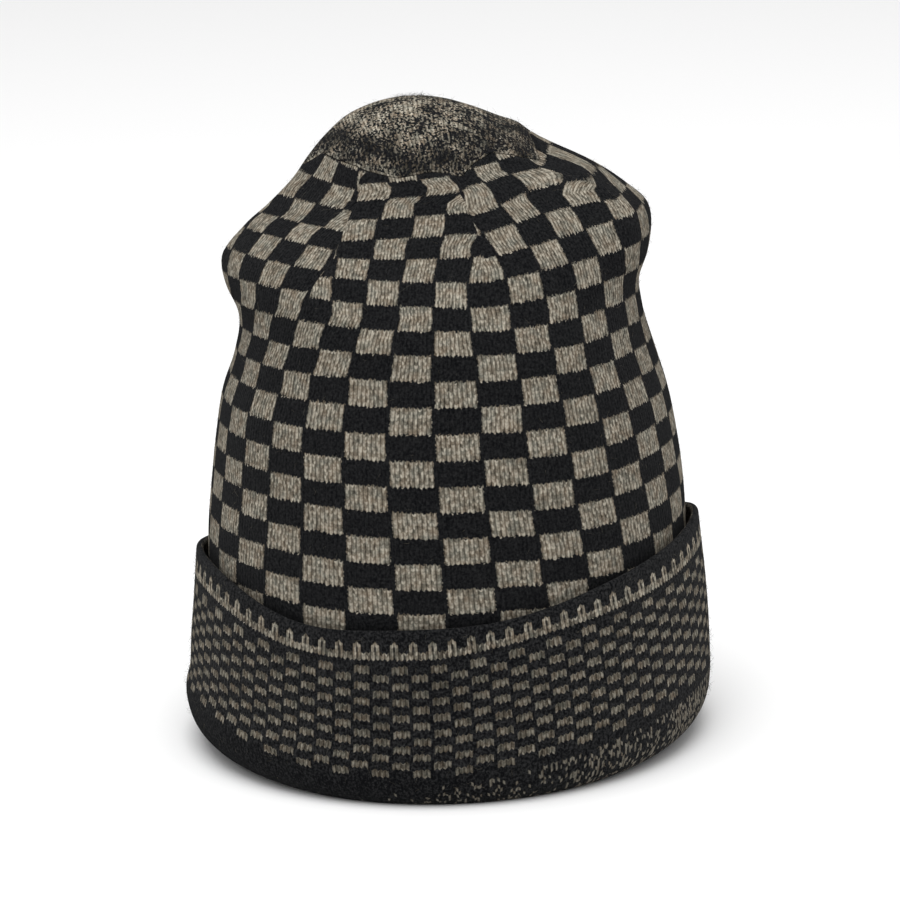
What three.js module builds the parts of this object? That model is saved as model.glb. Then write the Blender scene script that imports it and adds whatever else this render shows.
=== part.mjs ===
// Knit beanie with a checked crown, a speckled top panel and a turned-up cuff.
// Millimetres, +Z up. The front of the hat faces -Y and it stands on the fold of its cuff at Z = 0.
// Each row of the crown table is one course of stitches around the head, counted in rows of checks
// from the cuff's fold, and gives the shape that course takes as the empty hat stands.
import * as THREE from "three";

const CROWN_KNIT = 2.4;
const CUFF_KNIT = 2.8;
const SEAM_GAP = 0.3;
const FACETS_AROUND = 72;

// The crown's lower edge meets the cuff's inner leg here, and the top panel starts at its last check row.
const FIRST_ROW = -0.6;
const TOP_PANEL_ROW = 24;
const LAST_ROW = 28;

// One course per line. halfWidth and middleX run left to right, halfDepth and middleY front to back.
// backRise and rightRise tip the course, sideRise lifts both of its sides, and gore is how far it has
// gone from round to straight runs between the darts.
const COURSE_COLUMNS = [
  "row", "up", "halfWidth", "middleX", "halfDepth", "middleY", "backRise", "rightRise", "sideRise", "gore",
];
const COURSES = [
  [-0.6, 14.3, 86.1, 0, 86.9, 0, 0, 0, 0, 0],
  [1.5, 32.5, 86, 0.4, 87.2, 0, 1.5, -1.1, 0, 0],
  [4, 53.6, 86.2, 0.9, 87.6, 0, 2.8, -1.6, 0, 0],
  [7, 78.7, 86.2, 1.6, 87.6, 0, 2.5, -1.8, 0, 0],
  [9, 95.1, 84.9, 2.2, 86.8, 0.3, 1, -1.7, 0, 0],
  [11, 111.5, 82.8, 2.4, 85, 0.6, -0.5, -1.9, 0, 0],
  [13, 128, 79.7, 2.6, 81, 1, -2, -2.3, 0, 0],
  [14.5, 140.6, 75.6, 3.1, 77.5, 1.4, -3, -2.2, 0, 0],
  [16.5, 157.2, 72.4, 1.6, 73, 2, -3.5, -1.5, 0.5, 0],
  [17.5, 164.6, 74.4, -0.3, 69, 3, -3.3, -1.4, 2, 0.1],
  [18.5, 172, 77, 1.3, 64, 4, -3, -1.2, 4, 0.2],
  [20, 183, 75.4, 7.2, 56, 6, -2, 0.3, 5, 0.6],
  [21.5, 192.6, 68.5, 9.1, 48, 8, -2, 0, 2.5, 0.8],
  [23, 202.4, 55.3, 5.6, 39, 9, -1, 0.5, 2.5, 0.8],
  [24, 209, 43, -1.4, 34, 10, 1, 0.5, 2.5, 0.6],
  [25.2, 217.4, 34.5, -2.3, 28, 11, 1, -0.7, 1, 0.3],
  [26.6, 226, 21.3, -4.8, 18, 12, 0.5, -0.2, 0, 0],
  [27.5, 229.8, 9, -5.6, 8, 13, 0, 0, 0, 0],
  [28, 230.8, 0, -5.8, 0, 13, 0, 0, 0, 0],
];

// Angles of the crown's darts in degrees around from the front, positive towards the wearer's left.
const DARTS = [-140, -88, -37, 11, 62, 114, 168];

// Slumps of the empty top: a ridge behind the right shoulder and the crease in front of it.
const FOLD_COLUMNS = ["angle", "row", "angleSpan", "rowSpan", "lift"];
const FOLDS = [
  [118, 24.5, 34, 1, 3],
  [70, 23.9, 20, 0.5, -2.5],
];

// Middle line of the cuff's knit from its free edge, down the outside, under the fold and up inside.
// lean is the share of the free edge's tilt that has built up at that height, and sideRise is how far
// the line lifts at both sides, where the fold bows up from the surface that its front and back rest on.
const CUFF_COLUMNS = ["up", "halfWidth", "middleX", "halfDepth", "lean", "sideRise"];
const CUFF_LINE = [
  [73.7, 89.6, 1.5, 90.5, 1, 0],
  [67, 90.2, 1.5, 91, 0.9, 0],
  [54, 91.4, 1.5, 91.9, 0.7, 0.4],
  [39, 92.6, 1.2, 92.8, 0.46, 1.2],
  [26, 93.2, 0.9, 93.9, 0.28, 2.2],
  [17, 94.1, 0, 94.6, 0.16, 2.9],
  [9.5, 93.2, 0, 94.2, 0.08, 3.4],
  [4.4, 91, 0, 92.6, 0.03, 3.7],
  [0.8, 87.8, 0, 89.6, 0, 4],
  [0.7, 85.8, 0, 87.6, 0, 3.9],
  [4.2, 84.4, 0, 85.6, 0, 2.6],
  [8.5, 84.6, 0, 85.3, 0, 1.2],
  [14, 84.7, 0, 85.5, 0, 0],
];
const CUFF_BACK_RISE = 0.6;

// The free edge dips across the front and the back and rides up to the sides, most at the right.
const EDGE_COLUMNS = ["angle", "angleSpan", "lift"];
const EDGE_LIFTS = [
  [-35, 25, -10.5],
  [5, 30, -9.4],
  [92, 38, 7],
  [130, 35, -11],
  [180, 40, -11],
  [-130, 35, -11],
];

const YARN_CHECKED = 0x6f675a;
const YARN_SPECKLED = 0x4a4742;
const YARN_CUFF = 0x3b3a38;

const KNITTED = { roughness: 0.95, metalness: 0 };

// Names the values of one table line.
function named(columns, values) {
  return Object.fromEntries(columns.map((column, place) => [column, values[place]]));
}

// Slope of one column at one line of the table, weighted by the distances to its neighbours.
function slope(line, column) {
  const here = COURSES[line];
  const below = COURSES[Math.max(line - 1, 0)];
  const above = COURSES[Math.min(line + 1, COURSES.length - 1)];
  const down = here[0] - below[0];
  const up = above[0] - here[0];
  if (down === 0) return (above[column] - here[column]) / up;
  if (up === 0) return (here[column] - below[column]) / down;
  const slopeUp = (above[column] - here[column]) / up;
  const slopeDown = (here[column] - below[column]) / down;
  return (slopeUp * down + slopeDown * up) / (down + up);
}

// The course at any height, with every column eased smoothly between the lines of the table.
function courseAt(wantedRow) {
  const row = THREE.MathUtils.clamp(wantedRow, FIRST_ROW, LAST_ROW);
  const above = COURSES.findIndex((course) => course[0] > row);
  const line = above < 0 ? COURSES.length - 2 : above - 1;
  const span = COURSES[line + 1][0] - COURSES[line][0];
  const s = (row - COURSES[line][0]) / span;
  const values = COURSES[line].map((value, column) => {
    const startPart = (1 + 2 * s) * (1 - s) ** 2 * value;
    const endPart = s * s * (3 - 2 * s) * COURSES[line + 1][column];
    const slopePart = s * (1 - s) ** 2 * slope(line, column) - s * s * (1 - s) * slope(line + 1, column);
    return startPart + endPart + slopePart * span;
  });
  return named(COURSE_COLUMNS, values);
}

// How far the straight run between two darts falls inside the rounded course, as a share of its radius.
function goreFall(degrees) {
  const first = DARTS[0];
  const turned = THREE.MathUtils.euclideanModulo(degrees - first, 360) + first;
  const next = DARTS.findIndex((dart) => dart > turned);
  const start = next < 0 ? DARTS[DARTS.length - 1] : DARTS[next - 1];
  const end = next < 0 ? first + 360 : DARTS[next];
  const half = THREE.MathUtils.degToRad((end - start) / 2);
  const local = THREE.MathUtils.degToRad(turned - (start + end) / 2);
  return 1 - Math.cos(half) / Math.cos(local);
}

// A smooth hump around one angle of the hat, 1 at its middle.
function hump(degrees, middle, span) {
  const across = THREE.MathUtils.euclideanModulo(degrees - middle + 180, 360) - 180;
  return Math.exp(-((across / span) ** 2));
}

// Height that the slumps add at one place of the crown.
function foldLift(degrees, row) {
  return FOLDS.reduce((sum, values) => {
    const fold = named(FOLD_COLUMNS, values);
    const upward = Math.exp(-(((row - fold.row) / fold.rowSpan) ** 2));
    return sum + fold.lift * upward * hump(degrees, fold.angle, fold.angleSpan);
  }, 0);
}

// How far the cuff's free edge stands above or below its level height.
function edgeLift(angle) {
  const tilt = -CUFF_BACK_RISE * Math.cos(angle);
  return EDGE_LIFTS.reduce((sum, values) => {
    const edge = named(EDGE_COLUMNS, values);
    return sum + edge.lift * hump(THREE.MathUtils.radToDeg(angle), edge.angle, edge.angleSpan);
  }, tilt);
}

// A point of the crown's outer face.
function crownFace(angle, row) {
  const course = courseAt(row);
  const degrees = THREE.MathUtils.radToDeg(angle);
  const flatness = (course.halfWidth - course.halfDepth) / (4 * Math.max(course.halfWidth, 1));
  const turn = angle - flatness * Math.sin(2 * angle);
  const run = 1 - course.gore * goreFall(degrees);
  const side = Math.sin(turn);
  const back = -Math.cos(turn);
  return new THREE.Vector3(
    course.middleX + course.halfWidth * run * side,
    course.middleY + course.halfDepth * run * back,
    course.up + course.backRise * back + course.rightRise * side + course.sideRise * side * side
      + foldLift(degrees, row),
  );
}

// Outward direction of the crown's face, straight up near its top.
function crownNormal(angle, row) {
  if (row > LAST_ROW - 0.3) return new THREE.Vector3(0, 0, 1);
  const low = Math.max(row - 0.05, FIRST_ROW);
  const alongRow = crownFace(angle + 0.02, row).sub(crownFace(angle - 0.02, row));
  const upRow = crownFace(angle, row + 0.05).sub(crownFace(angle, low));
  return alongRow.cross(upRow).normalize();
}

// A point of the crown's knit, at a depth in from its outer face.
function crownPlace(angle, row, depth) {
  return crownFace(angle, row).addScaledVector(crownNormal(angle, row), -depth);
}

// Radius of the plain ring that each piece is turned as before it is bent onto the hat.
const RING_RADIUS = 100;

// Bends a ring turned from a closed profile of (row, depth) stations onto the hat.
// Facets that shrink to nothing where the ring closes at the top are left out.
function knitted(stations, place) {
  const profile = stations.map(([row, depth]) => new THREE.Vector2(RING_RADIUS - depth, row));
  const ring = new THREE.LatheGeometry(profile, FACETS_AROUND).toNonIndexed();
  const spots = ring.getAttribute("position");
  const corners = [];
  for (let i = 0; i < spots.count; i += 1) {
    const turned = new THREE.Vector3().fromBufferAttribute(spots, i);
    const around = Math.round((Math.atan2(turned.x, turned.z) * FACETS_AROUND) / (2 * Math.PI));
    const angle = (around * 2 * Math.PI) / FACETS_AROUND;
    corners.push(place(angle, turned.y, RING_RADIUS - Math.hypot(turned.x, turned.z)));
  }
  const kept = [];
  for (let i = 0; i < corners.length; i += 3) {
    const [a, b, c] = corners.slice(i, i + 3);
    const closest = Math.min(a.distanceTo(b), b.distanceTo(c), c.distanceTo(a));
    if (closest > 0.002) kept.push(a, b, c);
  }
  return new THREE.BufferGeometry().setFromPoints(kept);
}

// A closed loop of stations: up the outer face through the rows, then back down the inner face.
function bothFaces(rows, thickness) {
  const outer = rows.map((row) => [row, 0]);
  const inner = rows.map((row) => [row, thickness]).reverse();
  return [...outer, ...inner, outer[0]];
}

// Rows for the facets of the crown: wider steps where it is straight, closer ones where it turns over.
const crownRows = [
  FIRST_ROW, 2, 5, 8, 10.5, 12.5, 14.2, 15.6, 16.6, 17.4, 18.2, 19, 19.8, 20.6, 21.4, 22.1, 22.7, 23.3,
  TOP_PANEL_ROW - SEAM_GAP / 8.6,
];
const topRows = [TOP_PANEL_ROW, 24.7, 25.5, 26.3, 27, 27.5, 27.8, LAST_ROW];

const crownShape = knitted(bothFaces(crownRows, CROWN_KNIT), crownPlace);
const topShape = knitted(bothFaces(topRows, CROWN_KNIT), crownPlace);

// The cuff's middle line, offset by half the knit to each side, gives its closed section.
// The fold is pressed flat where it rests.
const cuffLine = CUFF_LINE.map((values) => named(CUFF_COLUMNS, values));

function cuffPlace(angle, station, depth) {
  const line = Math.round(-station);
  const here = cuffLine[line];
  const before = cuffLine[Math.max(line - 1, 0)];
  const after = cuffLine[Math.min(line + 1, cuffLine.length - 1)];
  const along = new THREE.Vector2(after.halfWidth - before.halfWidth, after.up - before.up).normalize();
  const out = (CUFF_KNIT / 2 - depth) * -along.y;
  const up = (CUFF_KNIT / 2 - depth) * along.x;
  const side = Math.sin(angle);
  const back = -Math.cos(angle);
  const height = here.up + up + here.lean * edgeLift(angle) + here.sideRise * side * side;
  return new THREE.Vector3(
    here.middleX + (here.halfWidth + out) * side,
    (here.halfDepth + out) * back,
    Math.max(height, 0),
  );
}

const cuffStations = cuffLine.map((_, line) => -line).reverse();
const cuffShape = knitted(bothFaces(cuffStations, CUFF_KNIT), cuffPlace);

function piece(name, shape, color) {
  shape.computeVertexNormals();
  const mesh = new THREE.Mesh(shape, new THREE.MeshStandardMaterial({ color, ...KNITTED }));
  mesh.name = name;
  return mesh;
}

const group = new THREE.Group();
group.name = "knit_beanie";
group.add(
  piece("crown", crownShape, YARN_CHECKED),
  piece("crown_top", topShape, YARN_SPECKLED),
  piece("cuff", cuffShape, YARN_CUFF),
);

export default group;
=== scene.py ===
# %% [markdown]
# # A knit beanie
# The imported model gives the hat's true shape as three plain solids: the checked crown, the small
# panel that closes its top, and the turned-up cuff. This lesson dresses them in knitted wool. Each
# solid is replaced by a finer shell of the same shape that carries the knitting chart on its
# surface.

import math
import random
from functools import lru_cache

import bmesh
import bpy
from mathutils import Matrix, Vector


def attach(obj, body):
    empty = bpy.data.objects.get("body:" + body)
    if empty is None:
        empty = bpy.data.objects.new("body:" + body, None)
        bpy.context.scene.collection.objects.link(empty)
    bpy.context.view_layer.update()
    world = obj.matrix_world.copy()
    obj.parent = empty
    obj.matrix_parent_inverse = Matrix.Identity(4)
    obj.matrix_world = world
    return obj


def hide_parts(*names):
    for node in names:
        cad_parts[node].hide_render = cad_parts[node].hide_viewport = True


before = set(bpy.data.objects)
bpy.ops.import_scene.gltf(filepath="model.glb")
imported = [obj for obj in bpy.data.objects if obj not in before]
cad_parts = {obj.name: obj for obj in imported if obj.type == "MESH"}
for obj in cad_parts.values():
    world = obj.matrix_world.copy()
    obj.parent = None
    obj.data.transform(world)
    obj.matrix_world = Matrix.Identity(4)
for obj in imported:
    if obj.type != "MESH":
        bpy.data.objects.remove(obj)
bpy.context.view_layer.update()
MM = 0.001

# %% [markdown]
# ## The camera
# The hat was photographed from its front with a long lens, a little from above, and the picture is
# turned by two degrees. A long lens keeps the far side of the cuff nearly as large as the near
# side.

# %% Camera
CAMERA_RISE = math.radians(15)
CAMERA_ROLL = math.radians(-2)
CAMERA_DISTANCE = 1900 * MM
LOOK_AT = Vector((3.5, 0, 103.5)) * MM
SENSOR = 36
FOCAL_PIXELS = 5270
PICTURE_PIXELS = 900

lens = bpy.data.cameras.new("camera")
lens.sensor_width = SENSOR
lens.lens = FOCAL_PIXELS / PICTURE_PIXELS * SENSOR
camera = bpy.data.objects.new("camera", lens)
bpy.context.scene.collection.objects.link(camera)
backwards = Vector((0, -math.cos(CAMERA_RISE), math.sin(CAMERA_RISE)))
aim = Matrix.Rotation(math.pi / 2 - CAMERA_RISE, 4, "X") @ Matrix.Rotation(CAMERA_ROLL, 4, "Z")
camera.matrix_world = Matrix.Translation(LOOK_AT + backwards * CAMERA_DISTANCE) @ aim
bpy.context.scene.camera = camera
print("lens", round(lens.lens, 1), "mm, camera at", camera.location)

# %% [markdown]
# ## The shape of the crown
# An empty hat slumps, so no course of its knitting is a plain circle. Each line below is one
# course: how high it lies, how wide and deep it is, how it tips, and how straight it runs between
# the darts. The lines between are eased in, which is how a soft tube bends. The same table shapes
# the solid, so the wool lies exactly where the solid was. Rows count the checks up from the fold of
# the cuff.

# %% The crown's courses, in millimetres
COURSE_COLUMNS = (
    "row", "up", "half_width", "middle_x", "half_depth", "middle_y",
    "back_rise", "right_rise", "side_rise", "gore",
)
COURSES = (
    (-0.6, 14.3, 86.1, 0, 86.9, 0, 0, 0, 0, 0),
    (1.5, 32.5, 86, 0.4, 87.2, 0, 1.5, -1.1, 0, 0),
    (4, 53.6, 86.2, 0.9, 87.6, 0, 2.8, -1.6, 0, 0),
    (7, 78.7, 86.2, 1.6, 87.6, 0, 2.5, -1.8, 0, 0),
    (9, 95.1, 84.9, 2.2, 86.8, 0.3, 1, -1.7, 0, 0),
    (11, 111.5, 82.8, 2.4, 85, 0.6, -0.5, -1.9, 0, 0),
    (13, 128, 79.7, 2.6, 81, 1, -2, -2.3, 0, 0),
    (14.5, 140.6, 75.6, 3.1, 77.5, 1.4, -3, -2.2, 0, 0),
    (16.5, 157.2, 72.4, 1.6, 73, 2, -3.5, -1.5, 0.5, 0),
    (17.5, 164.6, 74.4, -0.3, 69, 3, -3.3, -1.4, 2, 0.1),
    (18.5, 172, 77, 1.3, 64, 4, -3, -1.2, 4, 0.2),
    (20, 183, 75.4, 7.2, 56, 6, -2, 0.3, 5, 0.6),
    (21.5, 192.6, 68.5, 9.1, 48, 8, -2, 0, 2.5, 0.8),
    (23, 202.4, 55.3, 5.6, 39, 9, -1, 0.5, 2.5, 0.8),
    (24, 209, 43, -1.4, 34, 10, 1, 0.5, 2.5, 0.6),
    (25.2, 217.4, 34.5, -2.3, 28, 11, 1, -0.7, 1, 0.3),
    (26.6, 226, 21.3, -4.8, 18, 12, 0.5, -0.2, 0, 0),
    (27.5, 229.8, 9, -5.6, 8, 13, 0, 0, 0, 0),
    (28, 230.8, 0, -5.8, 0, 13, 0, 0, 0, 0),
)
DARTS = (-140, -88, -37, 11, 62, 114, 168)
DART_EDGES = (*DARTS, DARTS[0] + 360)
FOLDS = (
    {"angle": 118, "row": 24.5, "angle_span": 34, "row_span": 1, "lift": 3},
    {"angle": 70, "row": 23.9, "angle_span": 20, "row_span": 0.5, "lift": -2.5},
)
FIRST_ROW, TOP_PANEL_ROW, LAST_ROW = -0.6, 24, 28
CROWN_KNIT = 2.4
print(len(COURSES), "courses,", len(DARTS), "darts,", len(FOLDS), "folds")


# %% One course, eased between the lines of the table
def slope(line, column):
    here = COURSES[line]
    below = COURSES[max(line - 1, 0)]
    above = COURSES[min(line + 1, len(COURSES) - 1)]
    down = here[0] - below[0]
    up = above[0] - here[0]
    slope_up = (above[column] - here[column]) / up if up else 0
    slope_down = (here[column] - below[column]) / down if down else 0
    if down and up:
        return (slope_up * down + slope_down * up) / (down + up)
    return slope_up + slope_down


@lru_cache(None)
def course_at(wanted_row):
    row = min(max(wanted_row, FIRST_ROW), LAST_ROW)
    line = max(i for i, course in enumerate(COURSES[:-1]) if course[0] <= row)
    span = COURSES[line + 1][0] - COURSES[line][0]
    s = (row - COURSES[line][0]) / span
    eased = {}
    for column, name in enumerate(COURSE_COLUMNS):
        start = (1 + 2 * s) * (1 - s) ** 2 * COURSES[line][column]
        end = s * s * (3 - 2 * s) * COURSES[line + 1][column]
        bend = s * (1 - s) ** 2 * slope(line, column) - s * s * (1 - s) * slope(line + 1, column)
        eased[name] = start + end + bend * span
    return eased


print("half width at the shoulder:", round(course_at(18.5)["half_width"], 1), "mm")


# %% A point of the crown's outer face
def hump(degrees, middle, span):
    across = (degrees - middle + 180) % 360 - 180
    return math.exp(-((across / span) ** 2))


def gore_fall(degrees):
    turned = (degrees - DARTS[0]) % 360 + DARTS[0]
    place = max(i for i, dart in enumerate(DARTS) if dart <= turned)
    half = math.radians((DART_EDGES[place + 1] - DART_EDGES[place]) / 2)
    local = math.radians(turned - (DART_EDGES[place + 1] + DART_EDGES[place]) / 2)
    return 1 - math.cos(half) / math.cos(local)


def fold_lift(degrees, row):
    return sum(
        fold["lift"] * hump(degrees, fold["angle"], fold["angle_span"])
        * math.exp(-(((row - fold["row"]) / fold["row_span"]) ** 2))
        for fold in FOLDS
    )


def crown_face(angle, row):
    course = course_at(row)
    degrees = math.degrees(angle)
    flatness = (course["half_width"] - course["half_depth"]) / (4 * max(course["half_width"], 1))
    turn = angle - flatness * math.sin(2 * angle)
    run = 1 - course["gore"] * gore_fall(degrees)
    side, back = math.sin(turn), -math.cos(turn)
    tilt = course["back_rise"] * back + course["right_rise"] * side
    tilt += course["side_rise"] * side * side
    return Vector((
        course["middle_x"] + course["half_width"] * run * side,
        course["middle_y"] + course["half_depth"] * run * back,
        course["up"] + tilt + fold_lift(degrees, row),
    )) * MM


print("front of the shoulder at", crown_face(0, 18.5) / MM, "mm")


# %% [markdown]
# ## Darts and the top seam
# The crown is narrowed by seven darts. At a dart the knit is pulled in a little, so each shows as a
# fine crease that starts where the narrowing starts. The soft top has slumped, so the two darts
# that face the front sway, and the seam of the top panel rises and falls by up to most of a row of
# checks. The tables give both: degrees of sway at a row, and rows of rise at an angle.

# %% Swaying darts and the uneven seam
CREASE_DEPTH = 0.7
CREASE_SPAN = 1.5
DART_STARTS = {-37: 18.2, 11: 19.8}
PLAIN_DART_START = 18.6
SWAY_COLUMNS = ("row", -37, 11)
DART_SWAY = (
    (18.5, 0, 0),
    (19.8, 0, -1.5),
    (21, -3, -4.3),
    (22, -3.7, -6),
    (22.9, -2.5, -5),
    (23.6, 1, 3),
    (24.1, 5, 6.5),
    (28, 0, 0),
)
SEAM_COLUMNS = ("angle", "rise")
SEAM = (
    (-180, 0), (-95, 0), (-86, -0.3), (-74, 0.55), (-41, 0.5), (-22, 0.2), (-16, 0.1), (3, 0.4),
    (14, 0.3), (20, 0.05), (31, 0.55), (45, 0.85), (55, 0.55), (67, 0.2), (75, -0.1), (96, 0.3),
    (120, 0), (180, 0),
)


def eased_step(value, low, high):
    s = min(max((value - low) / (high - low), 0), 1)
    return s * s * (3 - 2 * s)


def read_between(table, columns, wanted):
    value = min(max(wanted, table[0][0]), table[-1][0])
    line = max(i for i, values in enumerate(table[:-1]) if values[0] <= value)
    s = (value - table[line][0]) / (table[line + 1][0] - table[line][0])
    return {name: a + (b - a) * s for name, a, b in zip(columns, table[line], table[line + 1])}


@lru_cache(None)
def sway_at(row):
    return read_between(DART_SWAY, SWAY_COLUMNS, row)


def dart_at(dart, row):
    return dart + sway_at(row).get(dart, 0)


def dart_start(dart):
    return DART_STARTS.get(dart, PLAIN_DART_START)


@lru_cache(None)
def seam_rise(degrees):
    return read_between(SEAM, SEAM_COLUMNS, (degrees + 180) % 360 - 180)["rise"]


def knit_row(degrees, row):
    below = eased_step(row, TOP_PANEL_ROW - 2, TOP_PANEL_ROW)
    above = eased_step(row, TOP_PANEL_ROW, TOP_PANEL_ROW + 3)
    return row + seam_rise(round(degrees, 4)) * (below - above)


print("seam above its level at 45 degrees:", round(knit_row(45, 24) - 24, 2), "rows")


# %% The outer face with its creases, and any depth behind it
def crease(degrees, row):
    below_seam = 1 - eased_step(row, TOP_PANEL_ROW - 0.3, TOP_PANEL_ROW + 1.5)
    return sum(
        CREASE_DEPTH * hump(degrees, dart_at(dart, row), CREASE_SPAN)
        * eased_step(row, dart_start(dart), dart_start(dart) + 1) * below_seam
        for dart in DARTS
    )


def outward(face, angle, row, step):
    along_row = face(angle + 0.02, row) - face(angle - 0.02, row)
    up_row = face(angle, row + step) - face(angle, row - step)
    return along_row.cross(up_row).normalized()


ROW_STEP = 0.05


def crown_place(angle, station_row, depth):
    row = knit_row(math.degrees(angle), station_row)
    sunk = depth or crease(math.degrees(angle), row)
    if not sunk:
        return crown_face(angle, row)
    if row > LAST_ROW - 0.3:
        return crown_face(angle, row) - Vector((0, 0, sunk)) * MM
    away = outward(crown_face, angle, max(row, FIRST_ROW + ROW_STEP), ROW_STEP)
    return crown_face(angle, row) - away * sunk * MM


print("crease at the front dart, row 22:", round(crease(dart_at(11, 22), 22), 2), "mm")

# %% [markdown]
# ## The knitting chart
# Check columns are ten stitches wide and check rows eight stitches tall. Low down the 32 columns
# are evenly spaced around the head. In the slumped top they are dragged towards the front, and each
# panel between two darts keeps its own width, so the checks meet the darts cut off. The tables
# give, for the three panels that face the front, where one column boundary lies, how wide the
# columns are and how they spread, and how much the rows lag, tilt and bow, in units of evenly
# spaced columns and rows. Towards the back the drag fades out, and below the darts each panel
# blends into the next.

# %% Where the check columns run
EVEN_COLUMNS = 32
FIRST_BOUNDARY = -1.7
DRAG_COLUMNS = ("row", "place", "width", "spread", "lag", "tilt", "bow")
LEFT_DRAG = (
    (6, -5.16, 1.01, 0, -0.18, 0.06, 0),
    (10, -5.12, 1, 0, -0.1, 0.07, 0),
    (13, -5.19, 0.97, 0, -0.15, 0.02, 0),
    (15, -5.15, 0.95, 0, -0.15, 0.03, 0),
    (16.5, -4.75, 0.91, 0, -0.05, -0.01, 0),
    (17.5, -4.2, 0.85, 0, 0.14, 0.04, 0),
    (18.6, -4.08, 0.93, 0, 0.18, 0.09, 0),
    (19.6, -4.25, 1.02, 0, 0.14, 0.05, 0),
    (20.6, -4.38, 1.03, 0, 0.11, 0.05, 0),
    (21.5, -4.14, 1.08, 0, 0.03, 0.01, 0),
    (22.5, -3.64, 1.5, 0, 0.12, -0.01, 0),
    (24, -3.22, 1.46, 0, 0.4, -0.06, 0),
)
FRONT_DRAG = (
    (6, -0.95, 1.05, 0, -0.02, 0.05, 0),
    (10, -1.08, 1.02, 0, 0.05, 0.01, 0),
    (13, -1.17, 1.03, 0, -0.03, 0.03, 0),
    (15, -1.2, 1.03, 0, -0.05, 0, 0),
    (16.5, -1.01, 0.96, 0, -0.02, -0.02, 0),
    (17.5, -0.74, 0.88, 0, 0, -0.04, 0),
    (18.5, -0.82, 0.87, 0, 0.03, -0.03, 0),
    (19.5, -1.11, 0.91, 0, -0.01, 0.01, 0),
    (20.5, -1.34, 0.96, 0, -0.08, 0.1, 0),
    (21.5, -1.34, 1.1, 0, -0.06, 0.11, 0),
    (22.5, -1.29, 1.11, 0, -0.09, 0.1, 0),
    (23.5, -0.27, 1.52, 0, -0.08, 0.14, 0),
    (24.5, -0.17, 1.59, 0, -0.09, 0.07, 0),
)
RIGHT_DRAG = (
    (6, 3.25, 1.04, 0, -0.13, -0.12, -0.02),
    (10, 2.96, 1.02, 0, -0.1, -0.01, 0.02),
    (13, 2.9, 1.01, 0, -0.01, 0.02, 0.02),
    (15, 2.87, 0.97, 0, -0.02, 0.05, 0.01),
    (16.5, 2.96, 1, 0, -0.07, 0.04, 0.01),
    (17.5, 3.12, 0.99, 0.02, -0.04, 0.06, 0),
    (18.6, 2.91, 0.95, 0.03, 0.09, 0.08, -0.01),
    (19.3, 2.68, 0.95, 0.03, 0.16, 0.07, -0.01),
    (19.8, 2.44, 0.97, 0.03, 0.22, 0.06, -0.01),
    (20.3, 2.26, 1, 0.03, 0.34, 0.12, -0.02),
    (20.8, 2.08, 1.08, 0.03, 0.53, 0.17, -0.02),
    (21.3, 2, 1.13, 0.03, 0.64, 0.14, -0.02),
    (21.8, 1.87, 1.18, 0.02, 0.71, 0.13, -0.04),
    (22.4, 1.72, 1.24, 0, 0.71, 0.14, -0.08),
    (23, 1.99, 1.31, -0.07, 0.74, 0.14, -0.04),
    (23.5, 2.31, 1.31, -0.1, 0.69, 0.12, 0),
    (24.3, 2.72, 1.37, -0.1, 0.29, 0.06, 0.01),
)
PANELS = {
    "left": {"panel": 1, "anchor": -5, "middle": -5, "drag": LEFT_DRAG},
    "front": {"panel": 2, "anchor": -1, "middle": -1, "drag": FRONT_DRAG},
    "right": {"panel": 3, "anchor": 3, "middle": 3.4, "drag": RIGHT_DRAG},
}
PANEL_NAMES = {values["panel"]: name for name, values in PANELS.items()}


@lru_cache(None)
def drag_at(name, row):
    return read_between(PANELS[name]["drag"], DRAG_COLUMNS, row)


def even_place(degrees):
    return (degrees - FIRST_BOUNDARY) * EVEN_COLUMNS / 360


print("left panel, row 20.6:", drag_at("left", 20.6)["place"])


# %% The chart position of a point of the crown
def dragged(name, degrees, row):
    drag = drag_at(name, row)
    x = (even_place(degrees) - drag["place"]) / drag["width"]
    off = even_place(degrees) - PANELS[name]["middle"]
    lag = drag["lag"] + drag["tilt"] * off + drag["bow"] * off * off
    return Vector((PANELS[name]["anchor"] + x + drag["spread"] * x * x, row - lag))


BLEND_DEGREES = 9
RIGHT_FADES, LEFT_GROWS = (85, 150), (185, 250)
NARROWING_MIDDLES = {0: DARTS[1], 4: DARTS[4]}
TOP_NARROWING = 0.6


def panel_chart(panel, degrees, row):
    if panel in PANEL_NAMES:
        return dragged(PANEL_NAMES[panel], degrees, row)
    turned = degrees if degrees >= DARTS[4] - BLEND_DEGREES else degrees + 360
    right = dragged("right", DARTS[4], row) - Vector((even_place(DARTS[4]), row))
    left = dragged("left", DARTS[1], row) - Vector((even_place(DARTS[1]), row))
    shift = right * (1 - eased_step(turned, *RIGHT_FADES)) + left * eased_step(turned, *LEFT_GROWS)
    middle = NARROWING_MIDDLES.get(panel, (DART_EDGES[panel] + DART_EDGES[panel + 1]) / 2)
    narrowing = 1 / (1 + TOP_NARROWING * eased_step(row, PLAIN_DART_START, TOP_PANEL_ROW)) - 1
    shift.x += even_place(degrees - middle + FIRST_BOUNDARY) * narrowing
    return Vector((even_place(degrees), row)) + shift


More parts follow.
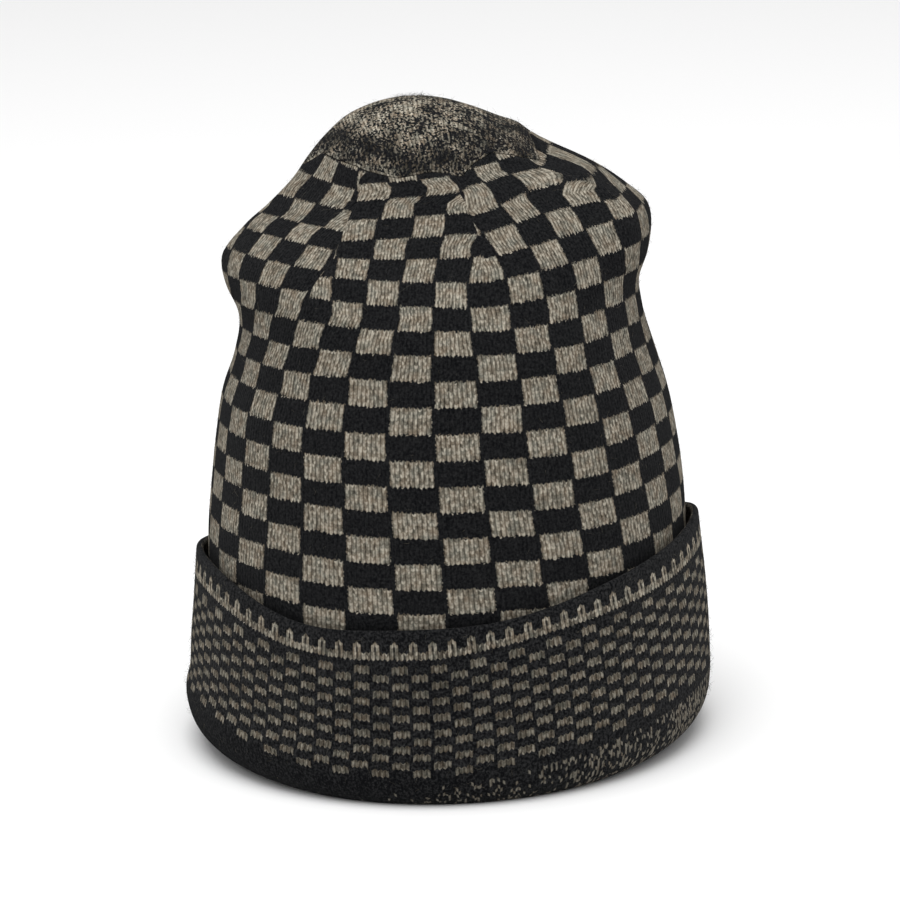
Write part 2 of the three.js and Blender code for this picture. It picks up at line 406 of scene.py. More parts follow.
def crown_chart(panel, degrees, row):
    own = panel_chart(panel, degrees, row)
    for side, dart in ((-1, DART_EDGES[panel]), (1, DART_EDGES[panel + 1])):
        near = max(1 - abs(degrees - dart_at(dart, row)) / BLEND_DEGREES, 0) / 2
        weight = near * (1 - eased_step(row, dart_start(dart) - 0.6, dart_start(dart) + 0.1))
        if weight:
            other = (panel + side) % len(DARTS)
            wrap = 360 * ((panel == len(DARTS) - 1) - (panel == 0)) if abs(panel - other) > 1 else 0
            beyond = panel_chart(other, degrees - wrap, row)
            beyond += Vector((even_place(wrap + FIRST_BOUNDARY), 0))
            own = own + (beyond - own) * weight
    return own


print("chart at the front, row 12:", crown_chart(2, 0, 12))

# %% [markdown]
# ## Rings of knit
# Each piece is a closed shell: up its outer face, over its edge and back down its inner face. A
# flat grid has just that layout, one line of points for each station along the section, so the
# shell is a grid that is bent around the hat and merged where its ends meet. The columns are laid
# panel by panel, so that a line of the mesh runs along each dart and the chart can break there.

# %% Bend a grid round the hat
PANEL_STEPS = 36
AROUND = PANEL_STEPS * len(DARTS)


def column_degrees(column, row=FIRST_ROW):
    panel = min(column // PANEL_STEPS, len(DARTS) - 1)
    start = dart_at(DART_EDGES[panel], row)
    end = dart_at(DART_EDGES[panel + 1], row)
    return start + (end - start) * (column / PANEL_STEPS - panel)


def bent_ring(name, stations, degrees_of, place, chart, is_inner):
    shell = bmesh.new()
    count = len(stations) - 1
    bmesh.ops.create_grid(shell, x_segments=AROUND, y_segments=count, size=0.5)
    knit = shell.loops.layers.uv.new("knit")
    spot_on_hat = shell.loops.layers.uv.new("spot")
    spots = {
        v: (round((v.co.x + 0.5) * AROUND), round((v.co.y + 0.5) * count)) for v in shell.verts
    }
    charted = {}
    for face in shell.faces:
        face.smooth = True
        panel = min(spots[v][0] for v in face.verts) // PANEL_STEPS
        face.material_index = int(all(is_inner(stations[spots[v][1]]) for v in face.verts))
        for corner in face.loops:
            key = (panel, *spots[corner.vert])
            if key not in charted:
                station = stations[key[2]]
                degrees = degrees_of(key[1], station[0])
                charted[key] = chart(panel, degrees, station), Vector((degrees, station[0]))
            corner[knit].uv, corner[spot_on_hat].uv = charted[key]
    for v, (column, station) in spots.items():
        v.co = place(math.radians(degrees_of(column, stations[station][0])), *stations[station])
    bmesh.ops.remove_doubles(shell, verts=shell.verts, dist=1e-6)
    mesh = bpy.data.meshes.new(name)
    shell.to_mesh(mesh)
    shell.free()
    piece = bpy.data.objects.new(name, mesh)
    bpy.context.scene.collection.objects.link(piece)
    print(name, len(mesh.vertices), "points,", len(mesh.polygons), "faces")
    return piece


def steps(start, end, count):
    return [start + (end - start) * i / count for i in range(count + 1)]


def both_faces(outer_rows, inner_rows, thickness):
    up = [(row, 0) for row in outer_rows]
    down = [(row, thickness) for row in reversed(inner_rows)]
    return [*up, *down, up[0]]


print(AROUND, "steps around the hat,", PANEL_STEPS, "in each panel")

# %% [markdown]
# ## The crown
# The crown is one knitted tube. It starts inside the cuff, goes straight up and rolls in over the
# shoulders. The outer face gets nearly five rows of points for each row of checks, enough for the
# roundness of the folds, while the hidden inner face needs far fewer.

# %% Crown
crown = bent_ring(
    "crown_knit",
    both_faces(
        steps(FIRST_ROW, TOP_PANEL_ROW - 0.03, 118),
        steps(FIRST_ROW, TOP_PANEL_ROW - 0.03, 30),
        CROWN_KNIT,
    ),
    column_degrees,
    crown_place,
    lambda panel, degrees, station: crown_chart(panel, degrees, knit_row(degrees, station[0])),
    lambda station: station[1] > 0,
)

# %% [markdown]
# ## The top panel
# A small speckled panel closes the top. Its stitches keep their size up to the middle, so its chart
# isn't wrapped around like the crown's. It is laid flat instead: the distance from the middle along
# the surface, in the direction of the angle, counted in check columns and rows.

# %% Top panel
CHECK_WIDTH = 17.0
CHECK_HEIGHT = 8.4
WAY_ANGLE = 0.4
MIDDLE_ROW = 40


@lru_cache(None)
def way_to_middle(row):
    rows = steps(row, LAST_ROW, 12)
    points = [crown_face(WAY_ANGLE, r) for r in rows]
    return sum((b - a).length for a, b in zip(points, points[1:])) / MM


def flat_chart(panel, degrees, station):
    far = way_to_middle(round(knit_row(degrees, station[0]), 3))
    angle = math.radians(degrees)
    column = far * math.sin(angle) / CHECK_WIDTH
    return Vector((column, MIDDLE_ROW - far * math.cos(angle) / CHECK_HEIGHT))


top_panel = bent_ring(
    "top_knit",
    both_faces(
        steps(TOP_PANEL_ROW, LAST_ROW, 36),
        steps(TOP_PANEL_ROW, LAST_ROW, 10),
        CROWN_KNIT,
    ),
    column_degrees,
    crown_place,
    flat_chart,
    lambda station: station[1] > 0,
)

# %% [markdown]
# ## The cuff
# The cuff is the same tube folded up once. Its section is a long hook: down from the free edge,
# round the fold that the hat stands on, and a little way up inside. The table gives the middle line
# of the knit, and the two faces lie half a thickness to each side. The free edge is itself a fold
# of knit, so it gets a rounded lip. The edge isn't level: each lift has its angle, how far around
# it reaches and how many millimetres it raises the edge. The lean says how much of it a height
# follows.

# %% The cuff's section, in millimetres
CUFF_KNIT = 2.8
CUFF_COLUMNS = ("up", "half_width", "middle_x", "half_depth", "lean", "side_rise")
CUFF_LINE = (
    (73.7, 89.6, 1.5, 90.5, 1, 0),
    (67, 90.2, 1.5, 91, 0.9, 0),
    (54, 91.4, 1.5, 91.9, 0.7, 0.4),
    (39, 92.6, 1.2, 92.8, 0.46, 1.2),
    (26, 93.2, 0.9, 93.9, 0.28, 2.2),
    (17, 94.1, 0, 94.6, 0.16, 2.9),
    (9.5, 93.2, 0, 94.2, 0.08, 3.4),
    (4.4, 91, 0, 92.6, 0.03, 3.7),
    (0.8, 87.8, 0, 89.6, 0, 4),
    (0.7, 85.8, 0, 87.6, 0, 3.9),
    (4.2, 84.4, 0, 85.6, 0, 2.6),
    (8.5, 84.6, 0, 85.3, 0, 1.2),
    (14, 84.7, 0, 85.5, 0, 0),
)
CUFF_BACK_RISE = 0.6
EDGE_LIFTS = (
    (-35, 25, -10.5), (5, 30, -9.4), (92, 38, 7), (130, 35, -11), (180, 40, -11), (-130, 35, -11),
)


@lru_cache(None)
def cuff_line_at(spot):
    line = min(int(spot), len(CUFF_LINE) - 2)
    s = spot - line
    lines = [CUFF_LINE[min(max(line + i, 0), len(CUFF_LINE) - 1)] for i in (-1, 0, 1, 2)]
    values = {}
    for name, a, b, c, d in zip(CUFF_COLUMNS, *lines):
        bend = (2 * a - 5 * b + 4 * c - d) * s * s + (3 * b - a - 3 * c + d) * s ** 3
        values[name] = b + ((c - a) * s + bend) / 2
    return values


def edge_lift(angle):
    lifts = sum(lift * hump(math.degrees(angle), at, span) for at, span, lift in EDGE_LIFTS)
    return lifts - CUFF_BACK_RISE * math.cos(angle)


def cuff_place(angle, spot, depth, beyond=0):
    here = cuff_line_at(spot)
    before = cuff_line_at(max(spot - 0.1, 0))
    after = cuff_line_at(min(spot + 0.1, len(CUFF_LINE) - 1))
    widening, climb = after["half_width"] - before["half_width"], after["up"] - before["up"]
    along = Vector((widening, climb)).normalized()
    out = (CUFF_KNIT / 2 - depth) * -along.y
    up = (CUFF_KNIT / 2 - depth) * along.x
    side, back = math.sin(angle), -math.cos(angle)
    tilt = here["lean"] * edge_lift(angle) + here["side_rise"] * side * side
    return Vector((
        here["middle_x"] + (here["half_width"] + out) * side,
        (here["half_depth"] + out) * back,
        max(here["up"] + up + beyond + tilt, 0),
    )) * MM


print("free edge at the front:", cuff_place(0, 0, 0) / MM, "mm")

# %% [markdown]
# The cuff's pattern keeps its distance from the free edge, so its chart counts the courses along
# the outer face, down from that edge. Its columns are four stitches wide, eighty around, and a
# little closer together at the front than at the back. The soft knit has wavered. The first table
# gives how far below the free edge the light line lies, and how far it would lie if the dashes set
# its place. The second gives how many columns and courses the dashes are off, for each smooth wave
# around.

# %% Where the cuff's columns and courses run
CUFF_COURSE = 1.43
LINE_COURSE = 9
DASH_COLUMNS = 80
LINE_COLUMNS = ("angle", "line", "dashes")
LINE_RUNS = (
    (-180, 9, 8.6), (-90, 9.2, 8.6), (-60, 9.3, 8.5), (-50, 8.9, 8), (-43, 8.5, 7.5),
    (-36, 8.5, 7.45), (-30, 8.7, 7.9), (-24, 9.1, 8.5), (-13, 9.75, 9.9), (-3, 9.7, 9.9),
    (7, 8.3, 8.95), (12, 7.8, 8.75), (18, 7.7, 8.4), (23, 7.9, 8.6), (29, 8.4, 8.85),
    (35, 9, 9.1), (42, 9.7, 9.4), (49, 10, 9.6), (57, 10.4, 9.65), (70, 10.2, 9.5),
    (90, 9.8, 9.2), (180, 9, 8.6),
)
WAVER = {
    "even": (0.185, 0.43),
    "side": (-0.114, -0.28),
    "back": (0.366, -0.15),
    "twice_side": (0, 0.22),
    "twice_back": (0, -0.44),
    "low": (-0.075, 0.015),
    "low_side": (-0.135, -0.34),
    "low_back": (0.02, 0.23),
}
MIDDLE_RUN, WAVE_RUN = 30, 10
LINE_RUN, DASH_RUN = 9.5, 15
LINE_LAG = 0.4


def dash_place(degrees):
    angle = math.radians(degrees)
    even = degrees * DASH_COLUMNS / 360
    return even + 0.55 * math.sin(angle) - 0.45 * (1 - math.cos(angle)) + 0.33


@lru_cache(None)
def cuff_run(degrees, spot):
    if spot <= 0:
        return 0
    nearer = max(spot - 0.25, 0)
    angle = math.radians(degrees)
    step = cuff_place(angle, spot, 0) - cuff_place(angle, nearer, 0)
    return cuff_run(degrees, nearer) + step.length / MM


def waver(degrees, run):
    angle = math.radians(degrees)
    side, back, low = math.sin(angle), 1 - math.cos(angle), (run - MIDDLE_RUN) / WAVE_RUN
    waves = {
        "even": 1, "side": side, "back": back,
        "twice_side": math.sin(2 * angle), "twice_back": 1 - math.cos(2 * angle),
        "low": low, "low_side": low * side, "low_back": low * back,
    }
    columns = sum(waves[name] * amount for name, (amount, _) in WAVER.items())
    courses = sum(waves[name] * amount for name, (_, amount) in WAVER.items())
    return columns, courses


def cuff_chart(panel, degrees, station):
    around = (degrees + 180) % 360 - 180
    runs = read_between(LINE_RUNS, LINE_COLUMNS, around)
    run = cuff_run(degrees, station[0]) - (station[2] if len(station) > 2 else 0)
    columns, courses = waver(degrees, run)
    by_line = (run - runs["line"]) / CUFF_COURSE + LINE_LAG
    by_dashes = (run - runs["dashes"]) / CUFF_COURSE + courses
    course = LINE_COURSE + by_line + (by_dashes - by_line) * eased_step(run, LINE_RUN, DASH_RUN)
    return Vector((dash_place(degrees) + 0.5 + columns, course))


print("outer face at the front:", round(cuff_run(0, 8), 1), "mm from edge to fold")

# %% Cuff
LAST_SPOT = len(CUFF_LINE) - 1
LIP_STEPS = 8
outside = [(spot, 0) for spot in reversed(steps(0, LAST_SPOT, 72)[1:])]
inside = [(spot, CUFF_KNIT) for spot in steps(0, LAST_SPOT, 30)[1:]]
lip_turns = [math.pi * i / LIP_STEPS for i in range(LIP_STEPS + 1)]
lip = [
    (0, CUFF_KNIT / 2 * (1 - math.cos(turn)), CUFF_KNIT / 2 * math.sin(turn))
    for turn in lip_turns
]
cuff = bent_ring(
    "cuff_knit",
    [*outside, *lip, *inside, outside[0]],
    lambda column, spot: column_degrees(column),
    cuff_place,
    cuff_chart,
    lambda station: station[1] > CUFF_KNIT / 2,
)

# %% [markdown]
# ## Material sums
# The stitches are drawn by arithmetic on the chart. Written node by node that is hard to read, so a
# small class stands for a value on its way through a material, and adding or multiplying two such
# values adds the Math node that does it.


# %% A value in a material, and the material itself
class Strand:
    def __init__(self, dye, socket):
        self.dye = dye
        self.socket = socket

    def sum(self, operation, *others):
        inputs = dict(enumerate((self, *others)))
        return self.dye.node("ShaderNodeMath", {"operation": operation}, inputs)

    def __add__(self, other):
        return self.sum("ADD", other)

    def __sub__(self, other):
        return self.sum("SUBTRACT", other)

    def __rsub__(self, other):
        return self.dye.node("ShaderNodeMath", {"operation": "SUBTRACT"}, {0: other, 1: self})

    def __mul__(self, other):
        return self.sum("MULTIPLY", other)

    def __truediv__(self, other):
        return self.sum("DIVIDE", other)

    def __mod__(self, other):
        return self.sum("FLOORED_MODULO", other)

    def __gt__(self, other):
        return self.sum("GREATER_THAN", other)

    def __lt__(self, other):
        return self.sum("LESS_THAN", other)

    __radd__ = __add__
    __rmul__ = __mul__


class Dye:
    def __init__(self, name):
        self.material = bpy.data.materials.new(name)
        self.material.use_nodes = True
        self.tree = self.material.node_tree
        self.tree.nodes.clear()

    def node(self, kind, settings=None, inputs=None, output=0):
        made = self.tree.nodes.new(kind)
        for name, value in (settings or {}).items():
            setattr(made, name, value)
        for name, value in (inputs or {}).items():
            if isinstance(value, Strand):
                self.tree.links.new(value.socket, made.inputs[name])
            else:
                made.inputs[name].default_value = value
        return None if output is None else Strand(self, made.outputs[output])

    def mix(self, share, first, second):
        # Sockets 6 and 7 take the two colours, and output 2 gives their mix.
        inputs = {0: share, 6: first, 7: second}
        return self.node("ShaderNodeMix", {"data_type": "RGBA"}, inputs, 2)

    def noise(self, kind, x, y):
        place = self.node("ShaderNodeCombineXYZ", None, {0: x, 1: y})
        scale = {"Scale": 1.0, "Detail": 0.0} if kind == "ShaderNodeTexNoise" else {}
        return self.node(kind, {"noise_dimensions": "2D"}, {"Vector": place, **scale})

    def finish(self, colour, height, bump_distance):
        bump = {"Strength": 1.0, "Distance": bump_distance * MM, "Height": height}
        wool = {
            "Base Color": colour,
            "Roughness": 0.95,
            "Specular IOR Level": 0.0,
            "Sheen Weight": 0.02,
            "Sheen Roughness": 0.6,
            "Normal": self.node("ShaderNodeBump", None, bump),
        }
        cloth = self.node("ShaderNodeBsdfPrincipled", None, wool)
        self.node("ShaderNodeOutputMaterial", None, {"Surface": cloth}, None)
        return self.material


print("shader sums ready")

# %% [markdown]
# ## Stitches
# The face of this knit is made of V-shaped stitches in upright columns. The two legs of each V lean
# outwards, so a course isn't a straight line: it zigzags, and so do the tops and bottoms of the
# checks. Each leg is a round strand with a groove beside it, which gives the fine upright stripes
# that the eye sees first. The groove is dented into the bump, and the yarns also paint its shade
# into the colour. No two legs are quite alike, so each gets a chance of its own.


# %% Legs and courses of the V stitches
class Stitches:
    def __init__(self, dye, wale, course, leg_groove):
        from_middle = ((wale % 1.0) - 0.5).sum("ABSOLUTE")
        self.course = course - from_middle
        leg_number = (wale * 2.0).sum("FLOOR")
        course_number = self.course.sum("FLOOR")
        self.chance = dye.noise("ShaderNodeTexWhiteNoise", leg_number, course_number)
        self.ragged_course = self.course + (self.chance - 0.5) * 0.7
        self.streak = dye.noise("ShaderNodeTexNoise", leg_number * 7.3, self.course * 0.45)
        leg = (wale * 2.0) % 1.0
        leg_roundness = (leg * (1.0 - leg) * 4.0).sum("POWER", 0.6)
        wale_roundness = 1.0 - (from_middle * 2.0).sum("POWER", 2.2)
        self.roundness = wale_roundness * (1.0 - leg_groove + leg_roundness * leg_groove)
        along = self.course % 1.0
        loop_roundness = (along * (1.0 - along) * 4.0).sum("POWER", 0.5)
        self.height = self.roundness * (loop_roundness * 0.4 + 0.6)


def chart_coordinates(dye, name="knit"):
    knit = dye.node("ShaderNodeUVMap", {"uv_map": name})
    x = dye.node("ShaderNodeSeparateXYZ", None, {0: knit}, 0)
    y = dye.node("ShaderNodeSeparateXYZ", None, {0: knit}, 1)
    return x, y


def cloud(dye, size, detail, roughness):
    place = dye.node("ShaderNodeTexCoord", None, None, "Object")
    shape = {"Vector": place, "Scale": 1 / (size * MM), "Detail": detail, "Roughness": roughness}
    return dye.node("ShaderNodeTexNoise", None, shape)


def between(value, low, high):
    return (value > low) * (value < high)


print("stitches ready")

# %% [markdown]
# ## Yarns
# The black yarn is nearly plain. The light yarn is marled: fibres of beige, grey, olive and brown
# are spun together, so its tone changes from leg to leg and drifts slowly over a few stitches. Both
# yarns are also painted darker in the grooves between the legs, as painted shade. Each yarn is one
# function, so that the crown, the top and the cuff are all knitted from the same two.

# %% Black and marled yarn
BLACK_DEEP = (0.0028, 0.0031, 0.0037, 1)
BLACK_SOFT = (0.0280, 0.0280, 0.0285, 1)
MARL_DARK = (0.022, 0.019, 0.014, 1)
MARL_MIDDLE = (0.150, 0.135, 0.103, 1)
MARL_LIGHT = (0.42, 0.385, 0.315, 1)
MARL_COOL = (0.125, 0.130, 0.115, 1)
MARL_WARM = (0.19, 0.14, 0.10, 1)


def clamped(value):
    return value.sum("MAXIMUM", 0.0).sum("MINIMUM", 1.0)


def black_yarn(dye, stitches, greyness=0.15, unevenness=1.5):
    fuzz = cloud(dye, 0.9, 2.0, 0.7)
    # Roundness lightens the tops of the legs: painted shade in the grooves.
    share = (fuzz - 0.5) * unevenness + stitches.roundness * 0.1 + (stitches.chance - 0.5) * 0.12
    return dye.mix(clamped(share + greyness), BLACK_DEEP, BLACK_SOFT)


def marled_yarn(dye, stitches, brightness=1.0):
    drift = cloud(dye, 0.9, 3.0, 0.7)
    hue = cloud(dye, 3.4, 1.0, 0.5)
    # Stitch height paints shade into the grooves; chance, streak and drift are the yarn's own tone.
    tone = (
        stitches.height * 0.47 + (stitches.chance - 0.5) * 0.46
        + (stitches.streak - 0.5) * 0.4 + (drift - 0.5) * 0.8 + 0.22
    )
    tint = dye.mix(clamped((hue - 0.5) * 2.4 + 0.5), MARL_COOL, MARL_WARM)
    middle = dye.mix(0.5, MARL_MIDDLE, tint)
    low = dye.mix(clamped(tone * 2.0), MARL_DARK, middle)
    high = dye.mix(clamped(tone * 2.0 - 1.0), low, MARL_LIGHT)
    return dye.node("ShaderNodeVectorMath", {"operation": "SCALE"}, {0: high, "Scale": brightness})


print("two yarns ready")

# %% [markdown]
# ## The checked wool
# A check is light when its column and row numbers add up to an even number. The row number is taken
# from the zigzag course and the column number from the stitch, so every edge of a check runs along
# whole legs. The black yarn swells over half a stitch at each side of a light check.

# %% Checked wool for the crown
WALES_PER_CHECK = 10.0
COURSES_PER_CHECK = 8.0
STITCH_BUMP = 0.2


def checked_wool():
    dye = Dye("checked_wool")
    x, y = chart_coordinates(dye)
    stitches = Stitches(dye, x * WALES_PER_CHECK + 0.5, y * COURSES_PER_CHECK, 0.35)
    fuzz = cloud(dye, 0.7, 1.0, 0.5) - 0.5
    column = x.sum("FLOOR")
    row = ((stitches.ragged_course + fuzz * 1.2) / COURSES_PER_CHECK).sum("FLOOR")
    in_check = between(x % 1.0 + fuzz * 0.08, 0.04, 0.96)
    light = (1.0 - ((column + row) % 2.0)) * in_check
    colour = dye.mix(light, black_yarn(dye, stitches), marled_yarn(dye, stitches))
    return dye.finish(colour, stitches.height, STITCH_BUMP)


crown.data.materials.append(checked_wool())
print("one check:", int(WALES_PER_CHECK), "stitches by", int(COURSES_PER_CHECK), "courses")

# %% [markdown]
# ## The speckled wool
# On the top panel the two yarns change places stitch by stitch, like salt and pepper. Chance
# decides each leg, a slow drift makes some patches lighter than others, and it is lightest around
# the middle. Where the panel is linked to the crown, a light thread shows here and there along the
# seam.


# %% Speckled wool for the top, and for the inside of the hat
def speckled_wool(name, light_share):
    dye = Dye(name)
    x, y = chart_coordinates(dye)
    row = chart_coordinates(dye, "spot")[1]
    stitches = Stitches(dye, x * WALES_PER_CHECK, y * COURSES_PER_CHECK, 0.2)
    patch = cloud(dye, 8, 1.0, 0.5) - 0.5
    grain = (cloud(dye, 0.75, 1.0, 0.5) - 0.5) * 1.7
    near_middle = clamped((row - 25.0) / 1.6)
    share_here = patch * (near_middle * 0.7 + 0.5) + near_middle * 0.1 + light_share
    light = (stitches.chance * 0.7 + grain) < share_here
    seam = between(row, TOP_PANEL_ROW, TOP_PANEL_ROW + 0.09) * (cloud(dye, 3.5, 2.0, 0.5) > 0.47)
    salt = marled_yarn(dye, stitches, clamped(near_middle * 0.52 + patch * 1.4 + 0.42) * 1.5)
    colour = dye.mix((light + seam).sum("MINIMUM", 1.0), black_yarn(dye, stitches), salt)
    return dye.finish(colour, stitches.height, STITCH_BUMP)


top_panel.data.materials.append(speckled_wool("speckled_wool", 0.25))
inside_wool = speckled_wool("inside_wool", 0.33)
for piece in (crown, top_panel):
    piece.data.materials.append(inside_wool)
print("top panel's wools:", [wool.name for wool in top_panel.data.materials])

# %% [markdown]
# ## The cuff's wool
# From the free edge down the cuff has a black hem, a row of little arches that stand on a light
# line, fourteen rows of small dashes that take turns, and scattered light stitches near the fold.
# Each band is a mask between two courses. The yarn is greyer here, and its grooves are deeper and
# carry more painted shade. Both yarns are painted lighter towards the sides, as painted sheen where
# the fuzz catches the light. Near the fold the black gets painted shade, deepest at the left, where
# the light stitches are also fewest.

# %% Patterned wool for the cuff
WALES_PER_DASH = 4.0
ARCH_TOP, LINE_TOP, LINE_END = 4.8, 7.3, 9.0
DASH_TOP, DASH_COURSES, DASH_ROWS = 10.6, 2.0, 14
SHADE_TOP, SPECKLE_TOP = 34.0, 40.8


def arches(course, x):
    from_arch = ((x + 0.24) % 1.0 - 0.5).sum("ABSOLUTE")
    over = (ARCH_TOP + 1.0 - course).sum("MAXIMUM", 0.0)
    outside = (over.sum("POWER", 2.0) + (from_arch * 4.6).sum("POWER", 2.0)) < 1.0
    hollow = (from_arch < 0.065) * (course > ARCH_TOP + 1.1)
    return outside * between(course, ARCH_TOP, LINE_END) * (1.0 - hollow * 0.75)


def cuff_wool():
    dye = Dye("cuff_wool")
    x, y = chart_coordinates(dye)
    # The deep grooves also carry more painted shade in the colour.
    stitches = Stitches(dye, x * WALES_PER_DASH, y * -1.0, 0.6)
    course = stitches.course * -1.0 - (stitches.chance - 0.5) * 0.4
    arch = arches(course, x)
    line = between(course, LINE_TOP, LINE_END) * ((stitches.chance - 0.5) * 0.5 + 0.75)
    row = ((course - DASH_TOP) / DASH_COURSES).sum("FLOOR")
    turn = 1.0 - ((x.sum("FLOOR") + row) % 2.0)
    rows_end = DASH_TOP + DASH_COURSES * DASH_ROWS
    in_row = ((course - DASH_TOP) / DASH_COURSES) % 1.0 < 0.88
    dash = turn * in_row * between(x % 1.0, 0.09, 0.91) * between(course, DASH_TOP, rows_end)
    to_right = (x * (2 * math.pi / DASH_COLUMNS)).sum("SINE")
    patch = (cloud(dye, 9, 1.0, 0.5) - 0.5) * 0.9 + to_right * 0.35
    speckle = ((stitches.chance + patch) > 0.91) * (course > SPECKLE_TOP) * 0.75
    edging = arch.sum("MAXIMUM", line)
    light = (edging + dash + speckle).sum("MINIMUM", 1.0)
    # Both yarns lighten towards the sides: painted sheen where the fuzz catches light.
    painted_sheen_to_side = x.sum("ABSOLUTE").sum("MINIMUM", DASH_COLUMNS / 4)
    brightness = painted_sheen_to_side * 0.023 + edging * 0.4 + 0.44
    # Near the fold the black gets painted shade, deepest at the left.
    near_fold = clamped((course - SHADE_TOP) * 0.15)
    greyness = painted_sheen_to_side * 0.011 + 0.2 + near_fold * (to_right * 0.14 - 0.1)
    grey = marled_yarn(dye, stitches, brightness)
    colour = dye.mix(light, black_yarn(dye, stitches, greyness, 3.2), grey)
    return dye.finish(colour, stitches.height, STITCH_BUMP)


cuff.data.materials.append(cuff_wool())
cuff.data.materials.append(inside_wool)
print("materials:", [m.name for m in bpy.data.materials if m.users])

# %% [markdown]
# ## Fuzz
# Wool is never clean-edged: fine fibres stand off it and soften its outline. One fibre is a thin
# three-sided cone, cut into three lengths so that it can bend. Doubling the mesh thirteen times
# gives over eight thousand copies, and each copy is then bent and laid on the hat by chance. Most
# are short. One in two hundred is a long stray hair that lies nearly flat. The cone's own x, y and
# z become three directions that turn the same way round, so that its faces still point outwards.

# %% One straight fibre, doubled again and again
fuzz_mesh = bmesh.new()
bmesh.ops.create_cone(fuzz_mesh, cap_ends=True, segments=3, radius1=1, radius2=0.4, depth=1)
bmesh.ops.translate(fuzz_mesh, verts=fuzz_mesh.verts, vec=(0, 0, 0.5))
long_edges = [e for e in fuzz_mesh.edges if abs(e.verts[0].co.z - e.verts[1].co.z) > 0.5]
bmesh.ops.subdivide_edges(fuzz_mesh, edges=long_edges, cuts=2)
CORNERS_PER_FIBRE, FACES_PER_FIBRE = len(fuzz_mesh.verts), len(fuzz_mesh.faces)
DOUBLINGS = 13
for _ in range(DOUBLINGS):
    everything = [*fuzz_mesh.verts, *fuzz_mesh.edges, *fuzz_mesh.faces]
    bmesh.ops.duplicate(fuzz_mesh, geom=everything)
fibre_count = len(fuzz_mesh.verts) // CORNERS_PER_FIBRE
print(fibre_count, "fibres of", CORNERS_PER_FIBRE, "corners and", FACES_PER_FIBRE, "faces")

# %% Bend each fibre and lay it on the hat
FIRST_FUZZ_ROW, LAST_FUZZ_ROW, LAST_FUZZ_SPOT = 7.2, 27.7, 6.2
CUFF_SHARE = 0.4
LONG_HAIR_EVERY = 200
LONG_LENGTHS, SHORT_LENGTHS = (6, 11), (0.8, 3.4)
LONG_RISES, SHORT_RISES = (0.05, 0.12), (0.2, 0.9)
THICKNESSES = (0.022, 0.042)
random.seed(11)


def random_root():
    angle = random.uniform(-math.pi, math.pi)
    if random.random() < CUFF_SHARE:
        spot = random.uniform(0.1, LAST_FUZZ_SPOT)
        away = outward(lambda a, s: cuff_place(a, s, 0), angle, spot, -ROW_STEP)
        return cuff_place(angle, spot, 0), away
    row = LAST_FUZZ_ROW
    while random.random() > course_at(row)["half_width"] / 90:
        row = round(random.uniform(FIRST_FUZZ_ROW, LAST_FUZZ_ROW), 2)
    return crown_face(angle, row), outward(crown_face, angle, row, ROW_STEP)


fuzz_mesh.verts.ensure_lookup_table()
for fibre in range(fibre_count):
    root, away = random_root()
    is_long = fibre % LONG_HAIR_EVERY == 0
    length = random.uniform(*(LONG_LENGTHS if is_long else SHORT_LENGTHS)) * MM
    thickness = random.uniform(*THICKNESSES) * MM
    across = away.orthogonal().normalized()
    lean = Matrix.Rotation(random.uniform(0, 2 * math.pi), 3, away) @ across
    rise = random.uniform(*(LONG_RISES if is_long else SHORT_RISES))
    heading = (lean + away * rise).normalized()
    sideways = heading.cross(away).normalized()
    bend = sideways * random.uniform(-0.45, 0.45) - away * random.uniform(0, 0.3) * rise
    first = fibre * CORNERS_PER_FIBRE
    for v in fuzz_mesh.verts[first:first + CORNERS_PER_FIBRE]:
        x, y, along = v.co
        spine = (heading * along + bend * along * along) * length
        v.co = root + spine + (away * y - sideways * x) * thickness
print("last fibre at", root / MM, "mm")

# %% Black and light fibres
LIGHT_FIBRE_SHARE = 0.15


def fibre_wool(name, colour):
    dye = Dye(name)
    tone = cloud(dye, 2.5, 1.0, 0.5)
    deeper = (*(value * 0.5 for value in colour[:3]), 1)
    return dye.finish(dye.mix(tone, colour, deeper), 0.0, 0.01)


fuzz_mesh.faces.ensure_lookup_table()
for fibre in range(fibre_count):
    is_light = random.random() < LIGHT_FIBRE_SHARE
    first = fibre * FACES_PER_FIBRE
    for face in fuzz_mesh.faces[first:first + FACES_PER_FIBRE]:
        face.material_index = int(is_light)
fuzz_data = bpy.data.meshes.new("wool_fuzz")
fuzz_mesh.to_mesh(fuzz_data)
fuzz_mesh.free()
fuzz_data.materials.append(fibre_wool("black_fibre", BLACK_SOFT))
fuzz_data.materials.append(fibre_wool("light_fibre", MARL_MIDDLE))
wool_fuzz = bpy.data.objects.new("wool_fuzz", fuzz_data)
bpy.context.scene.collection.objects.link(wool_fuzz)
print("fuzz:", len(fuzz_data.polygons), "faces")

# %% [markdown]
# ## Floor and light
# The hat stands on a plain pale floor. A white sky lights it evenly from all around, as a light
# tent does. A wide lamp overhead makes the slumped top brighter than the upright sides, and one
# from the front gives the round forms a little shape.

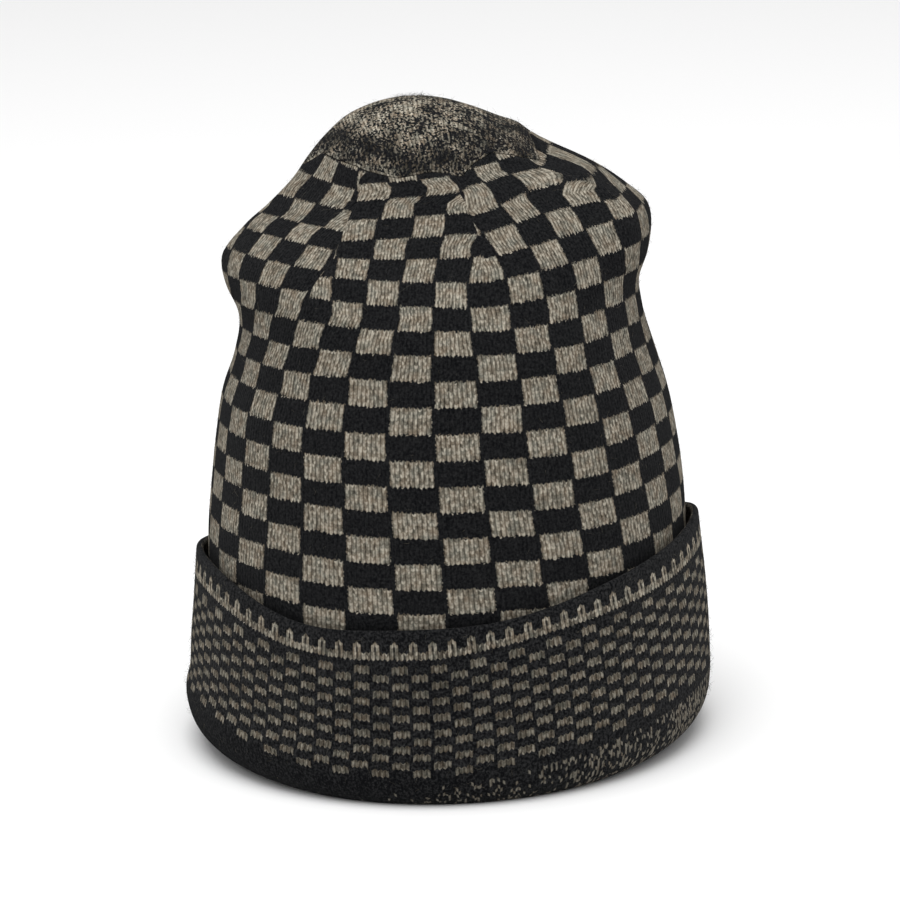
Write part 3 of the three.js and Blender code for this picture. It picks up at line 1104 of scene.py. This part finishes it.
# %% Floor, sky and lamps
PAPER_WHITE = (0.9, 0.9, 0.9, 1)
SKY_STRENGTH = 0.62
floor_grid = bmesh.new()
bmesh.ops.create_grid(floor_grid, x_segments=1, y_segments=1, size=8)
bmesh.ops.translate(floor_grid, verts=floor_grid.verts, vec=(0, 0, -0.0003))
floor_mesh = bpy.data.meshes.new("floor")
floor_grid.to_mesh(floor_mesh)
floor_grid.free()
floor = bpy.data.objects.new("floor", floor_mesh)
bpy.context.scene.collection.objects.link(floor)
paper = bpy.data.materials.new("pale_paper")
paper.use_nodes = True
paper_surface = paper.node_tree.nodes["Principled BSDF"]
paper_surface.inputs["Base Color"].default_value = PAPER_WHITE
paper_surface.inputs["Roughness"].default_value = 0.9
floor_mesh.materials.append(paper)

sky = bpy.data.worlds.new("studio")
sky.use_nodes = True
sky.node_tree.nodes["Background"].inputs["Color"].default_value = (1, 1, 1, 1)
sky.node_tree.nodes["Background"].inputs["Strength"].default_value = SKY_STRENGTH
bpy.context.scene.world = sky

LAMP_COLUMNS = ("name", "size", "energy", "place")
LAMPS = (
    ("front_lamp", 1.6, 11, (-0.1, -1.6, 1.7)),
    ("top_lamp", 2.4, 45, (-0.1, -0.3, 2.3)),
)
for values in LAMPS:
    lamp = dict(zip(LAMP_COLUMNS, values))
    lamp_data = bpy.data.lights.new(lamp["name"], "AREA")
    lamp_data.shape = "DISK"
    lamp_data.size = lamp["size"]
    lamp_data.energy = lamp["energy"]
    hung = bpy.data.objects.new(lamp["name"], lamp_data)
    hung.location = lamp["place"]
    hung.rotation_euler = (Vector((0, 0, 0.1)) - hung.location).to_track_quat("-Z", "Y").to_euler()
    bpy.context.scene.collection.objects.link(hung)
bpy.context.scene.view_settings.view_transform = "Standard"
print("floor, sky and", len(LAMPS), "lamps ready")

# %% [markdown]
# ## Hand the pieces over
# Each shell stands for its solid, which is hidden. The shells and the fuzz hang from the hat's
# root.

# %% Pieces, hidden solids and the root
for piece, node, finish in (
    (crown, "crown", "checked_wool"),
    (top_panel, "crown_top", "speckled_wool"),
    (cuff, "cuff", "cuff_wool"),
):
    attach(piece, "root")
    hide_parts(node)
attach(wool_fuzz, "root")
